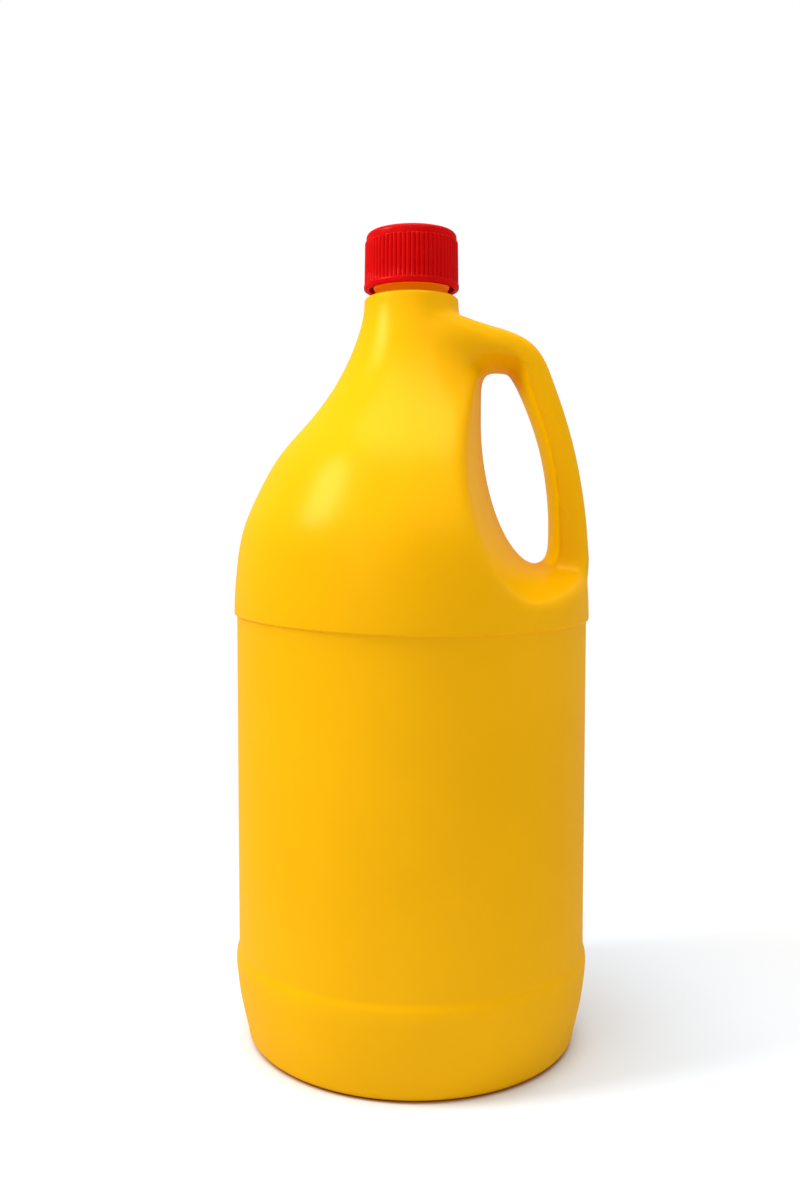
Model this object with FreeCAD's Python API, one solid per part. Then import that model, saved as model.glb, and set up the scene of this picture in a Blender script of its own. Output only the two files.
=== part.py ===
"""Detergent jug: a blow-moulded bottle with a hollow handle, its ribbed screw cap and the cap's liner.

Millimetres, +Z up. The origin is the centre of the standing ring, on the surface that the jug stands
on, and the handle lies towards +X. The cap is modelled screwed home.
"""

import FreeCAD, Part
import math
import os

Vector = FreeCAD.Vector
UP = Vector(0, 0, 1)

# Bottle: heights above the surface it stands on, and radii about the vertical axis
wall = 1.1
standing_inner_radius = 60.0
heel_radius = 66.4
heel_round = 4.8
heel_swell_height = 19.0
heel_swell_share = 0.82
base_push_up = 6.0
base_sag_share = 0.75
bead_foot = 30.6
bead_height = 36.0
bead_head = 47.0
bead_proud = 1.45
bead_foot_share = 0.58
bead_head_share = 0.4
bead_foot_lean = 0.2
panel_radius = 75.0
lip_height = 181.6
lip_step = 1.1
shoulder_height = 136.7
collar_radius = 20.1
collar_round = 1.5

# Neck finish: a single-start right-hand thread
neck_height = 24.4
neck_root_radius = 16.2
neck_groove_depth = 0.7
neck_groove_height = 3.6
neck_bore_radius = 13.5
neck_lip_round = 0.7
thread_pitch = 6.35
thread_depth = 1.4
thread_base = 2.7
thread_crest = 1.1
thread_bury = 0.5
bottle_thread_turns = 1.75
bottle_thread_drop = 3.6
thread_steps_per_turn = 24
thread_fade_steps = 3
thread_end_share = 0.12

# Handle, and the pocket that leaves room for the fingers behind it
grip_depth = 25.0
grip_corner = 4.6
grip_wall = 1.1
grip_root_round = 4.0
handle_sections = 27
pocket_draft_deg = 10.0
pocket_sections = 11
pocket_arc_steps = 8
pocket_reach = 1.1
pocket_far = 1.4
pocket_ridge_round = 4.0
pocket_rim_round = 6.0

# Cap and liner
cap_skirt_gap = 3.3
cap_clearance = 0.45
thread_clearance = 0.4
cap_wall = 1.45
cap_top_wall = 1.8
cap_rim_proud = 0.85
cap_rim_height = 2.6
cap_rim_round = 0.9
cap_band_height = 3.9
cap_edge_round = 2.2
rib_count = 64
rib_depth = 0.6
rib_taper = 0.25
cap_thread_turns = 1.5
liner_thickness = 1.2
liner_side_gap = 0.15

# Worked out from the sizes above
shoulder_radius = panel_radius + lip_step
collar_height = lip_height + shoulder_height
neck_top = collar_height + neck_height
thread_radius = neck_root_radius + thread_depth
cap_bottom = collar_height + cap_skirt_gap
cap_inner_radius = thread_radius + cap_clearance
cap_outer_radius = cap_inner_radius + cap_wall
cap_ceiling = neck_top + liner_thickness
cap_height = cap_ceiling + cap_top_wall - cap_bottom
cap_thread_crest_radius = neck_root_radius + thread_clearance


def point(x, z):
    """A point of the plane of symmetry, which holds the axis and the handle."""
    return Vector(x, 0, z)


def line(a, b):
    return Part.LineSegment(a, b).toShape()


def quarter(centre, radius, start_deg, end_deg):
    """An arc in the plane of symmetry, its angles counted from +X towards +Z."""
    def place(angle):
        turn = math.radians(angle)
        return centre + Vector(radius * math.cos(turn), 0, radius * math.sin(turn))
    return Part.Arc(place(start_deg), place((start_deg + end_deg) / 2), place(end_deg)).toShape()


def spline(points, start_tangent, end_tangent):
    curve = Part.BSplineCurve()
    curve.interpolate(Points=points, InitialTangent=start_tangent, FinalTangent=end_tangent)
    return curve


def revolve(edges):
    """Turn a closed outline about the vertical axis, with its seam on the side away from the handle."""
    face = Part.Face(Part.Wire(edges))
    face.rotate(Vector(0, 0, 0), UP, 180)
    return face.revolve(Vector(0, 0, 0), UP, 360)


# ---------------------------------------------------------------- bottle

# The shoulder's outline as shares: out from the collar's radius to the shoulder's, and up from the lip
SHOULDER = [
    (0.984, 0.137), (0.920, 0.288), (0.795, 0.406), (0.638, 0.514),
    (0.411, 0.622), (0.222, 0.729), (0.090, 0.837), (0.010, 0.944),
]

# The handle from inside the neck, round its bend and down into the shoulder. Each station is its
# outer point, as shares of the shoulder's radius and height, the lean of its section in degrees,
# its thickness there, and how much wider each side of it is than the grip.
HANDLE = [
    (0.060, 0.977, 69, 20.4, 5.5),
    (0.193, 0.945, 69, 18.9, 5.0),
    (0.323, 0.918, 69, 17.4, 4.0),
    (0.434, 0.899, 69, 16.1, 2.6),
    (0.562, 0.880, 68, 14.9, 1.2),
    (0.650, 0.854, 58, 13.6, 0.4),
    (0.716, 0.814, 40, 13.0, 0.0),
    (0.769, 0.756, 24, 12.5, 0.0),
    (0.828, 0.668, 20, 12.0, 0.0),
    (0.887, 0.565, 15, 11.7, 0.0),
    (0.940, 0.439, 11, 12.1, 0.0),
    (0.976, 0.317, 6, 13.3, 0.0),
    (0.993, 0.219, 2, 14.6, 0.0),
    (0.993, 0.120, 0, 15.0, 0.0),
    (0.982, 0.040, 0, 15.6, 0.0),
]

# The pocket's wall and floor in the plane of symmetry: a quarter ellipse between them
POCKET_WALL = 0.394
POCKET_FLOOR = 0.168
POCKET_ARC_OUT = 0.723
POCKET_ARC_UP = 0.610


def shoulder_curve(inset):
    """The shoulder's outline from lip to collar, shifted into the bottle by inset."""
    places = [point(shoulder_radius, lip_height + lip_step)]
    for out, up in SHOULDER:
        x = collar_radius + (shoulder_radius - collar_radius) * out
        places.append(point(x, lip_height + shoulder_height * up))
    places.append(point(collar_radius, collar_height - collar_round))
    curve = spline(places, UP, UP)
    if inset == 0:
        return curve
    steps = 3 * len(places)
    shifted = []
    for step in range(steps + 1):
        share = curve.FirstParameter + (curve.LastParameter - curve.FirstParameter) * step / steps
        along = curve.tangent(share)[0]
        shifted.append(curve.value(share) + Vector(-along.z, 0, along.x) * inset)
    return spline(shifted, UP, UP)


def turned_body(inset):
    """The bottle without handle or pocket: its outside at inset 0, its cavity at inset wall."""
    side = panel_radius - inset
    ring_z = inset
    sag = base_push_up * base_sag_share
    heel_side = heel_radius + heel_round - inset
    bead = side + bead_proud
    lip_half = lip_step / 2
    shoulder = shoulder_curve(inset)
    edges = [
        Part.Arc(
            point(0, base_push_up + inset),
            point(standing_inner_radius / 2, sag + inset),
            point(standing_inner_radius, ring_z),
        ).toShape(),
        line(point(standing_inner_radius, ring_z), point(heel_radius, ring_z)),
        quarter(point(heel_radius, heel_round), heel_round - inset, -90, 0),
        spline(
            [
                point(heel_side, heel_round),
                point(heel_side + (side - heel_side) * heel_swell_share, heel_swell_height),
                point(side + bead_proud * bead_foot_share, bead_foot),
            ],
            UP, UP,
        ).toShape(),
        spline(
            [
                point(side + bead_proud * bead_foot_share, bead_foot),
                point(bead, bead_height),
                point(side + bead_proud * bead_head_share, (bead_height + bead_head) / 2),
                point(side, bead_head),
            ],
            Vector(bead_foot_lean, 0, 1), UP,
        ).toShape(),
        line(point(side, bead_head), point(side, lip_height)),
        quarter(point(side + lip_half, lip_height), lip_half, 180, 90),
        quarter(point(side + lip_half, lip_height + lip_step), lip_half, -90, 0),
        shoulder.toShape(),
    ]
    top = shoulder.EndPoint
    if inset == 0:
        edges += neck_outline(top)
    else:
        edges += [
            line(top, point(neck_bore_radius, top.z)),
            line(point(neck_bore_radius, top.z), point(neck_bore_radius, neck_top + wall)),
            line(point(neck_bore_radius, neck_top + wall), point(0, neck_top + wall)),
            line(point(0, neck_top + wall), point(0, base_push_up + inset)),
        ]
    return revolve(edges)


def neck_outline(collar_side):
    """From the collar's side over its edge, up the plain neck to its lip, and back down the axis."""
    groove = neck_root_radius - neck_groove_depth
    groove_top = collar_height + neck_groove_height
    lip_low = neck_top - neck_lip_round
    return [
        quarter(point(collar_side.x - collar_round, collar_side.z), collar_round, 0, 90),
        line(point(collar_radius - collar_round, collar_height), point(groove, collar_height)),
        line(point(groove, collar_height), point(groove, groove_top)),
        line(point(groove, groove_top), point(neck_root_radius, groove_top + neck_groove_depth)),
        line(point(neck_root_radius, groove_top + neck_groove_depth), point(neck_root_radius, lip_low)),
        quarter(point(neck_root_radius - neck_lip_round, lip_low), neck_lip_round, 0, 90),
        line(point(neck_root_radius - neck_lip_round, neck_top), point(0, neck_top)),
        line(point(0, neck_top), point(0, base_push_up)),
    ]


def pocket(grow):
    """The space cut from the shoulder behind the handle, drafted both ways from the parting plane."""
    wall_x = shoulder_radius * POCKET_WALL
    arc_x = shoulder_radius * POCKET_ARC_OUT
    arc_z = lip_height + shoulder_height * POCKET_ARC_UP
    floor_z = lip_height + shoulder_height * POCKET_FLOOR
    far_x = shoulder_radius * pocket_far
    far_z = neck_top
    slope = math.tan(math.radians(pocket_draft_deg))
    reach = shoulder_radius * pocket_reach
    sections = []
    for number in range(pocket_sections):
        y = reach * (2 * number / (pocket_sections - 1) - 1)
        opened = slope * (math.hypot(y, pocket_ridge_round) - pocket_ridge_round) + grow
        across = arc_x - wall_x + opened
        down = arc_z - floor_z + opened
        quarter_points = []
        for step in range(pocket_arc_steps + 1):
            turn = math.pi / 2 * step / pocket_arc_steps
            quarter_points.append(point(arc_x - across * math.cos(turn), arc_z - down * math.sin(turn)))
        first = quarter_points[0]
        last = quarter_points[-1]
        outline = Part.Wire([
            line(point(first.x, far_z), first),
            spline(quarter_points, -UP, Vector(1, 0, 0)).toShape(),
            line(last, point(far_x, last.z)),
            line(point(far_x, last.z), point(far_x, far_z)),
            line(point(far_x, far_z), point(first.x, far_z)),
        ])
        outline.translate(Vector(0, y, 0))
        sections.append(outline)
    return Part.makeLoft(sections, True, False)


def handle_section(outer, lean_deg, thickness, half_depth, corner):
    """A rounded rectangle square to the handle, from its outer point inwards."""
    lean = math.radians(lean_deg)
    outward = Vector(math.cos(lean), 0, math.sin(lean))
    side = Vector(0, 1, 0)
    middle = outer - outward * (thickness / 2)
    out = thickness / 2 - corner
    across = half_depth - corner
    corners = [(out, across), (-out, across), (-out, -across), (out, -across)]

    def rim(number, share):
        """A point on the rounding of one corner, from its first end at share 0 to its last at 1."""
        corner_out, corner_across = corners[number % len(corners)]
        turn = math.pi / 2 * (number + share)
        return (
            middle
            + outward * (corner_out + corner * math.cos(turn))
            + side * (corner_across + corner * math.sin(turn))
        )

    edges = []
    for number in range(len(corners)):
        edges.append(Part.Arc(rim(number, 0), rim(number, 0.5), rim(number, 1)).toShape())
        edges.append(line(rim(number, 1), rim(number + 1, 0)))
    return Part.Wire(edges)


def handle_curves():
    """The handle's outer line, its (lean, thickness, wider) along that line, and the line's length."""
    places = []
    shapes = []
    travelled = [0.0]
    for out, up, lean, thickness, wider in HANDLE:
        places.append(point(shoulder_radius * out, lip_height + shoulder_height * up))
        shapes.append(Vector(lean, thickness, wider))
    for near, far in zip(places, places[1:]):
        travelled.append(travelled[-1] + (far - near).Length)
    outer_line = Part.BSplineCurve()
    outer_line.interpolate(Points=places, Parameters=travelled)
    shape_line = Part.BSplineCurve()
    shape_line.interpolate(Points=shapes, Parameters=travelled)
    return outer_line, shape_line, travelled[-1]


def handle(inset):
    """The handle's outside at inset 0, and the channel through it at inset grip_wall."""
    outer_line, shape_line, length = handle_curves()
    sections = []
    for number in range(handle_sections):
        along = length * number / (handle_sections - 1)
        lean, thickness, wider = shape_line.value(along)
        turn = math.radians(lean)
        outer = outer_line.value(along)
        outer -= Vector(math.cos(turn), 0, math.sin(turn)) * inset
        half_depth = grip_depth / 2 + wider - inset
        sections.append(
            handle_section(outer, lean, thickness - 2 * inset, half_depth, grip_corner - inset))
    return Part.makeLoft(sections, True, False, False, 3)


def shared_edges(shape, first, second):
    """The edges of shape that lie on the surfaces of both first and second."""
    found = []
    for edge in shape.Edges:
        middle = Part.Vertex(edge.valueAt((edge.FirstParameter + edge.LastParameter) / 2))
        on_first = middle.distToShape(first.Shells[0])[0] < 0.001
        if on_first and middle.distToShape(second.Shells[0])[0] < 0.001:
            found.append(edge)
    return found


def bottle_form(inset):
    """The whole outside of the bottle at inset 0, or the whole of its cavity at inset wall."""
    body = turned_body(inset)
    space = pocket(inset)
    cut = body.cut(space)
    cut = cut.makeFillet(pocket_rim_round - inset, shared_edges(cut, body, space))
    bar = handle(grip_wall if inset else 0)
    joined = cut.fuse(bar)
    return joined.makeFillet(grip_root_round + inset, shared_edges(joined, cut, bar))


def thread(buried_radius, crest_radius, start_z, turns):
    """A right-hand ridge of trapezium section, from the side of a wall to its crest, faded at both ends."""
    steps = round(thread_steps_per_turn * turns)
    sections = []
    for step in range(steps + 1):
        from_end = min(step, steps - step) / thread_fade_steps
        fade = min(1.0, thread_end_share + (1 - thread_end_share) * from_end)
        crest = buried_radius + (crest_radius - buried_radius) * fade
        angle = 360 * step / thread_steps_per_turn
        z = start_z + thread_pitch * step / thread_steps_per_turn
        corners = [
            point(buried_radius, z - thread_base / 2), point(crest, z - thread_crest / 2),
            point(crest, z + thread_crest / 2), point(buried_radius, z + thread_base / 2),
        ]
        outline = Part.makePolygon(corners + corners[:1])
        outline.rotate(Vector(0, 0, 0), UP, angle)
        sections.append(outline)
    return Part.makeLoft(sections, True, False, False, 3)


def bottle_thread_start():
    return neck_top - bottle_thread_drop - thread_pitch * bottle_thread_turns


def make_bottle():
    blown = bottle_form(0).cut(bottle_form(wall))
    root = neck_root_radius - thread_bury
    return blown.fuse(thread(root, thread_radius, bottle_thread_start(), bottle_thread_turns))


# ---------------------------------------------------------------- cap and liner

def cap_body():
    """The cap without ribs or thread: rim bead, tapered skirt, rounded top edge, flat top."""
    inner = cap_inner_radius
    outer = cap_outer_radius
    rim = outer + cap_rim_proud
    band = outer - rib_taper
    rim_top = cap_bottom + cap_rim_height
    top = cap_bottom + cap_height
    r = cap_rim_round
    outline = [
        line(point(inner, cap_bottom), point(rim - r, cap_bottom)),
        quarter(point(rim - r, cap_bottom + r), r, -90, 0),
        line(point(rim, cap_bottom + r), point(rim, rim_top - cap_rim_proud)),
        quarter(point(outer, rim_top - cap_rim_proud), cap_rim_proud, 0, 90),
        line(point(outer, rim_top), point(band, top - cap_band_height)),
        line(point(band, top - cap_band_height), point(band, top - cap_edge_round)),
        quarter(point(band - cap_edge_round, top - cap_edge_round), cap_edge_round, 0, 90),
        line(point(band - cap_edge_round, top), point(0, top)),
        line(point(0, top), point(0, cap_ceiling)),
        line(point(0, cap_ceiling), point(inner, cap_ceiling)),
        line(point(inner, cap_ceiling), point(inner, cap_bottom)),
    ]
    return revolve(outline)


def cap_ribs():
    """One ring of ribs: a scalloped prism trimmed by the taper of the ribs and their rounded heads."""
    foot_z = cap_bottom + cap_rim_height - cap_rim_proud
    head_z = cap_bottom + cap_height - cap_band_height
    crest = cap_outer_radius + rib_depth
    valley = cap_outer_radius - rib_taper
    buried = cap_inner_radius + cap_wall / 3
    pitch = 2 * math.pi / rib_count
    edges = []
    for rib in range(rib_count):
        middle = rib * pitch
        places = []
        for radius, angle in (
            (valley, middle - pitch / 2), (crest, middle), (valley, middle + pitch / 2),
        ):
            places.append(Vector(radius * math.cos(angle), radius * math.sin(angle), foot_z))
        edges.append(Part.Arc(*places).toShape())
    scallops = Part.Face(Part.Wire(edges)).extrude(Vector(0, 0, head_z - foot_z))
    head_round = rib_depth
    taper = revolve([
        line(point(buried, foot_z), point(crest, foot_z)),
        line(point(crest, foot_z), point(crest - rib_taper, head_z - head_round)),
        quarter(point(crest - rib_taper - head_round, head_z - head_round), head_round, 0, 90),
        line(point(crest - rib_taper - head_round, head_z), point(buried, head_z)),
        line(point(buried, head_z), point(buried, foot_z)),
    ])
    return scallops.common(taper)


def make_cap():
    cap = cap_body().fuse(cap_ribs())
    start = bottle_thread_start() - thread_pitch / 2
    inside_thread = thread(
        cap_inner_radius + thread_bury, cap_thread_crest_radius, start, cap_thread_turns)
    return cap.fuse(inside_thread)


def make_liner():
    radius = cap_inner_radius - liner_side_gap
    return Part.makeCylinder(radius, liner_thickness, Vector(0, 0, neck_top), UP)


os.makedirs("parts", exist_ok=True)
for name, shape in (("bottle", make_bottle()), ("cap", make_cap()), ("liner", make_liner())):
    solids = shape.Solids
    print(name, len(solids), "solid", shape.isValid(), round(shape.Volume), "mm3")
    shape.exportStep("parts/" + name + ".step")
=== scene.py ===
"""A yellow blow-moulded detergent jug with a red ribbed screw cap, on a pale studio floor.

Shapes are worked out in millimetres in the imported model's own frame and become metres in their meshes.
"""

import math

import bpy
import numpy as np
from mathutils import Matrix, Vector


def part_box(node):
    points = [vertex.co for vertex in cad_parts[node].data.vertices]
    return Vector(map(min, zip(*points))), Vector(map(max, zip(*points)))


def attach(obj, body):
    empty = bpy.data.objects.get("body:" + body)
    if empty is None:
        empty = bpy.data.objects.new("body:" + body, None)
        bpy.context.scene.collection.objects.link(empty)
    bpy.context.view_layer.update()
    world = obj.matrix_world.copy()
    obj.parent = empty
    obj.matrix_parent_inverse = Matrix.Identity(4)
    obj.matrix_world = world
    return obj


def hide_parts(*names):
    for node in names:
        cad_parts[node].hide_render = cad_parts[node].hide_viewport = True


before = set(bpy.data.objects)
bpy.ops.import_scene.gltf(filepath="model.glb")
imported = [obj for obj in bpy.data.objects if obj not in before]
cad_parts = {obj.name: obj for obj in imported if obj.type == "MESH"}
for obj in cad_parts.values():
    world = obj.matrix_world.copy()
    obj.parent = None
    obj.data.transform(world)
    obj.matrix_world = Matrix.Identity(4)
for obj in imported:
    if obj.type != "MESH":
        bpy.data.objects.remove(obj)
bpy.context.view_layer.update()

MM = 0.001

# ------------------------------------------------------------------ sizes, in millimetres

bottle_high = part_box("bottle")[1] / MM
cap_low, cap_high = (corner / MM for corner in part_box("cap"))
liner_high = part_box("liner")[1] / MM

WALL = 1.1
PANEL_RADIUS = 75.0
LIP_HEIGHT = 181.6
LIP_STEP = 1.1
SHOULDER_RADIUS = PANEL_RADIUS + LIP_STEP
COLLAR_RADIUS = 20.1
COLLAR_HEIGHT = 318.3
COLLAR_ROUND = 1.5
SHOULDER_HEIGHT = COLLAR_HEIGHT - LIP_HEIGHT
HEEL_RADIUS = 66.4
HEEL_ROUND = 4.8
STANDING_RADIUS = 60.0
STANDING_FLAT = 3.0
CREASE_HIGH = 42.0
CREASE_LOW = 37.5
BASE_PUSH_UP = 6.0

# The lip isn't level. Its swing fades out in the wall below and above it, and inside the outer wall
LIP_RISE = 0.5
LIP_DIP = 2.4
LIP_TILT = 1.0
LIP_BEND_BELOW = 32
LIP_BEND_ABOVE = 22
LIP_BEND_RADII = 60, 70

NECK_TOP = bottle_high.z
NECK_ROOT = 16.2
NECK_GROOVE = 15.5
NECK_GROOVE_HEIGHT = 3.6
NECK_GROOVE_TOP = COLLAR_HEIGHT + NECK_GROOVE_HEIGHT
NECK_FOOT_ROUND = 0.4
NECK_LIP_ROUND = 0.7
NECK_BORE = 13.5
MOUTH_BEVEL = 0.3
CAVITY_TOP_ROUND = 0.8
BORE_FOOT_ROUND = 0.6

# The neck's thread. It ends THREAD_DROP below the lip and reaches THREAD_ROOTED into the neck's wall. Its
# height fades at both ends, from a step before the first, so that no end is a point
THREAD_PITCH = 6.35
THREAD_DEPTH = 1.4
THREAD_BASE = 2.7
THREAD_CREST = 1.1
THREAD_TURNS = 1.75
THREAD_DROP = 3.6
THREAD_START = NECK_TOP - THREAD_DROP - THREAD_PITCH * THREAD_TURNS
THREAD_ROOTED = 0.5
THREAD_STEPS_A_TURN = 72
THREAD_FADE_STEPS = -2, 9

CAP_BOTTOM = cap_low.z
CAP_TOP = cap_high.z
CAP_CEILING = liner_high.z
CAP_INNER = 18.05
CAP_OUTER = 19.5
CAP_RIM_PROUD = 0.85
CAP_RIM_HEIGHT = 2.6
CAP_RIM_ROUND = 0.9
CAP_BAND_HEIGHT = 3.9
CAP_EDGE_ROUND = 2.2
CAP_MOUTH_BEVEL = 0.3
CAP_THREAD_CREST = 16.6
CAP_THREAD_TURNS = 1.5
RIB_COUNT = 64
RIB_DEPTH = 0.6
RIB_TAPER = 0.25
RIB_COLUMNS = 8
RIB_ROUNDNESS = 0.94
RIB_HEAD_HOLD = 0.25
RIB_WELD = 0.002
TOP_RING_RADIUS = 9

LINER_SIDE_GAP = 0.15
LINER_EDGE_ROUND = 0.18
LINER_INNER_RING = 4
LINER_SIDES = 96

# The pocket behind the handle has an upright wall and a floor, and a stretched round between them that
# leaves the floor at POCKET_ARC_X and meets the wall at POCKET_ARC_Z. Its two sides lean by the draft and
# meet in a soft ridge
POCKET_WALL = 0.394 * SHOULDER_RADIUS
POCKET_FLOOR = LIP_HEIGHT + 0.168 * SHOULDER_HEIGHT
POCKET_ARC_X = 0.723 * SHOULDER_RADIUS
POCKET_ARC_Z = LIP_HEIGHT + 0.610 * SHOULDER_HEIGHT
POCKET_DRAFT = math.tan(math.radians(13))
POCKET_RIDGE = 3.0
POCKET_RIM_BLEND = 10.0
POCKET_RIM_FADE = 7
POCKET_FULLNESS = 1.85

# The handle is the upright grip with its root on the shoulder, and the arm that runs over to the collar.
# Pairs give where something begins and where it is complete
GRIP_DEPTH = 25.0
GRIP_CORNER = 4.8
GRIP_CROWN = 0.5
GRIP_ROOT_BLEND = 14.0
GRIP_ROOT_FADE = 8
# Where the painted glow on the grip's inner side begins and where it is full
PAINTED_GLOW_FROM_X = 44, 50
PAINTED_GLOW_FROM_Z = 186, 196
ARM_ROOT_BLEND = 9.0
ARM_ROOT_FADE = 5
ARM_ROOT_HEIGHTS = 294, 304
ARM_SIDE_BLEND = 30.0
ARM_SIDE_HEIGHTS = 262, 285

# The formed stretch of the bottle, from just above the lip to the collar's straight side, and how finely
# it and the turned parts are meshed outside and in the cavity
FORM_LOW = LIP_HEIGHT + LIP_STEP + 0.5
FORM_HIGH = COLLAR_HEIGHT - COLLAR_ROUND - 1.8
NET_MARGIN = 1.4
OUTSIDE_CELL = 1.43
OUTSIDE_SMOOTHING = 8
OUTSIDE_ROW_STEP = 1.6
CAVITY_CELL = 2.6
CAVITY_SMOOTHING = 5
CAVITY_ROW_STEP = 5

# The shoulder's outline as shares: out from the collar's radius to the shoulder's, and up from the lip
SHOULDER = [
    (1.0, 0.008), (0.984, 0.137), (0.920, 0.288), (0.795, 0.406), (0.638, 0.514),
    (0.411, 0.622), (0.222, 0.729), (0.090, 0.837), (0.010, 0.944), (0.0, 0.989),
]

# The side's outline from the heel's rounding up over the bead to the straight side: height, radius
HEEL = [
    (HEEL_ROUND, HEEL_RADIUS + HEEL_ROUND), (8.5, 72.1), (13.0, 73.1), (17.5, 74.05), (22.0, 74.85),
    (26.0, 75.4), (29.5, 75.75), (32.0, 76.0), (34.5, 76.2), (36.5, 76.15), (38.3, 75.85), (39.5, 75.42),
    (40.2, 75.12), (40.7, 75.02), (CREASE_HIGH, PANEL_RADIUS), (44.5, PANEL_RADIUS), (47.5, PANEL_RADIUS),
]

# The handle's stations: outer point as shares of the shoulder's radius and height, the lean of its
# section in degrees, its thickness, how much wider each side of it is than the grip, and how far its
# oval inner side reaches into that thickness
HANDLE = [
    (0.060, 0.978, 69, 20.5, 6.0, 13.0),
    (0.193, 0.949, 69, 19.4, 5.6, 13.0),
    (0.323, 0.924, 69, 18.4, 4.6, 13.0),
    (0.434, 0.906, 69, 17.6, 3.2, 12.0),
    (0.562, 0.886, 68, 16.5, 1.6, 10.5),
    (0.652, 0.860, 58, 15.3, 0.6, 8.5),
    (0.721, 0.820, 40, 14.9, 0.1, 6.5),
    (0.774, 0.761, 24, 14.2, 0.0, 4.8),
    (0.833, 0.672, 20, 13.4, 0.0, 3.6),
    (0.892, 0.568, 15, 13.1, 0.0, 3.2),
    (0.945, 0.441, 11, 13.6, 0.0, 3.2),
    (0.979, 0.317, 6, 14.7, 0.0, 3.2),
    (0.993, 0.219, 2, 15.8, 0.0, 3.5),
    (0.989, 0.120, 0, 16.2, 0.0, 4.0),
    (0.972, 0.040, 0, 16.8, 0.0, 5.0),
]


# ------------------------------------------------------------------ curves

class SmoothCurve:
    """A curve through values at rising knots, smooth to its second derivative, flat-ended if asked."""

    def __init__(self, knots, values, flat_ends=False):
        self.knots = np.asarray(knots, float)
        self.values = np.asarray(values, float).reshape(len(self.knots), -1)
        gap = np.diff(self.knots)
        rise = np.diff(self.values, axis=0) / gap[:, None]
        count = len(self.knots)
        system = np.zeros((count, count))
        right = np.zeros_like(self.values)
        for i in range(1, count - 1):
            system[i, i - 1:i + 2] = gap[i - 1], 2 * (gap[i - 1] + gap[i]), gap[i]
            right[i] = 6 * (rise[i] - rise[i - 1])
        system[0, 0] = system[-1, -1] = 1
        if flat_ends:
            system[0, :2] = 2 * gap[0], gap[0]
            right[0] = 6 * rise[0]
            system[-1, -2:] = gap[-1], 2 * gap[-1]
            right[-1] = -6 * rise[-1]
        self.bend = np.linalg.solve(system, right)

    def __call__(self, where):
        """The values and their slopes at where, held level beyond the ends."""
        where = np.asarray(where, float)
        held = np.clip(where, self.knots[0], self.knots[-1])
        i = np.clip(np.searchsorted(self.knots, held) - 1, 0, len(self.knots) - 2)
        gap = (self.knots[i + 1] - self.knots[i])[..., None]
        a = (self.knots[i + 1] - held)[..., None] / gap
        b = 1 - a
        value = a * self.values[i] + b * self.values[i + 1]
        value += ((a ** 3 - a) * self.bend[i] + (b ** 3 - b) * self.bend[i + 1]) * gap ** 2 / 6
        slope = (self.values[i + 1] - self.values[i]) / gap
        slope += ((1 - 3 * a ** 2) * self.bend[i] + (3 * b ** 2 - 1) * self.bend[i + 1]) * gap / 6
        slope *= (held == where)[..., None]
        return value, slope


def smoothstep(x, low, high):
    share = np.clip((x - low) / (high - low), 0, 1)
    return share * share * (3 - 2 * share)


shoulder_radius_at = SmoothCurve(
    [LIP_HEIGHT + SHOULDER_HEIGHT * up for out, up in SHOULDER],
    [COLLAR_RADIUS + (SHOULDER_RADIUS - COLLAR_RADIUS) * out for out, up in SHOULDER],
    flat_ends=True,
)
heel_radius_at = SmoothCurve([height for height, radius in HEEL], [radius for height, radius in HEEL])


# How many points are measured against the handle's line at once, which keeps its memory small
POINTS_AT_ONCE = 4000


class HandleLine:
    """The handle's middle line in the plane of symmetry, with its half thickness, half depth and the
    reach of its oval side."""

    def __init__(self, stations, samples=320):
        rows = []
        for out, up, lean_deg, thickness, wider, oval in stations:
            lean = math.radians(lean_deg)
            x = SHOULDER_RADIUS * out - math.cos(lean) * thickness / 2
            z = LIP_HEIGHT + SHOULDER_HEIGHT * up - math.sin(lean) * thickness / 2
            rows.append((x, z, thickness / 2, GRIP_DEPTH / 2 + wider, oval))
        rows = np.array(rows)
        steps = np.hypot(*np.diff(rows[:, :2], axis=0).T)
        travelled = np.concatenate([[0], np.cumsum(steps)])
        self.line, slope = SmoothCurve(travelled, rows)(np.linspace(0, travelled[-1], samples))
        self.along = slope[:, :2] / np.hypot(slope[:, 0], slope[:, 1])[:, None]
        self.step = travelled[-1] / (samples - 1)

    def measure(self, x, z):
        """For points of the plane: how far outside the line they lie (negative on its inner side), the
        unit vector that way, and the half thickness, half depth and oval reach there."""
        x, z = np.broadcast_arrays(x, z)
        flat = np.stack([x.ravel(), z.ravel()], 1)
        nearest = np.concatenate([
            ((chunk[:, None] - self.line[None, :, :2]) ** 2).sum(2).argmin(1)
            for chunk in np.array_split(flat, max(1, len(flat) // POINTS_AT_ONCE))
        ])
        away = flat - self.line[nearest, :2]
        forward = (away * self.along[nearest]).sum(1)
        forward = np.clip(forward, -self.step / 2, self.step / 2)
        away -= self.along[nearest] * forward[:, None]
        outer = np.stack([-self.along[nearest, 1], self.along[nearest, 0]], 1)
        side = np.where((away * outer).sum(1) < 0, -1.0, 1.0)
        off = np.hypot(away[:, 0], away[:, 1])
        away = np.where(off[:, None] > 1e-6, away * (side / np.maximum(off, 1e-9))[:, None], outer)
        neighbour = np.clip(nearest + np.sign(forward).astype(int), 0, len(self.line) - 1)
        share = (np.abs(forward) / self.step)[:, None]
        sizes = self.line[nearest, 2:] * (1 - share) + self.line[neighbour, 2:] * share
        parts = (off * side, away[:, 0], away[:, 1], *sizes.T)
        return [part.reshape(x.shape) for part in parts]


handle_line = HandleLine(HANDLE)


# ------------------------------------------------------------------ solid forms
# Each form gives, for points x, y, z, the signed distance to its surface (negative inside) and the
# outward direction there.

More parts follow.
